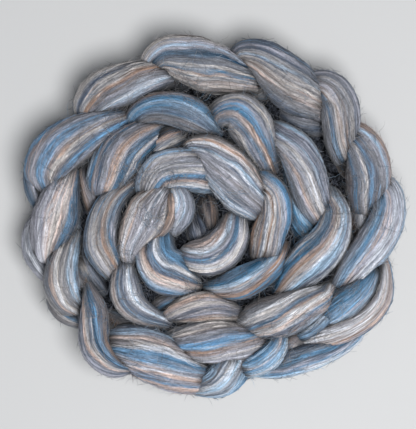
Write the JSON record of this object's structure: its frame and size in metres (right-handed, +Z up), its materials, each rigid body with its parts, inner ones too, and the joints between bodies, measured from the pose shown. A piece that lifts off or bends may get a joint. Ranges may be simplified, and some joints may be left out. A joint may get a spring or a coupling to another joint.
{
  "type": "wound braid of wool roving",
  "caption": "Thick plait of combed, undyed and dyed wool roving wound into a flat round coil, lying ready for spinning or felting.",
  "frame": {"origin": "on the ground under the middle of the coil, the centre of the underside of its bounding box", "axes": "+Z up through the coil's thickness, +X across the coil's wider way, +Y away from the near edge"},
  "size_m": [0.3077, 0.2891, 0.0582],
  "materials": {
    "wool_roving": "matt wool with a soft silky sheen along the fibres, streaked blue, slate, grey, cream and tan"
  },
  "bodies": {
    "root": {"braid": "wool_roving"}
  },
  "joints": []
}
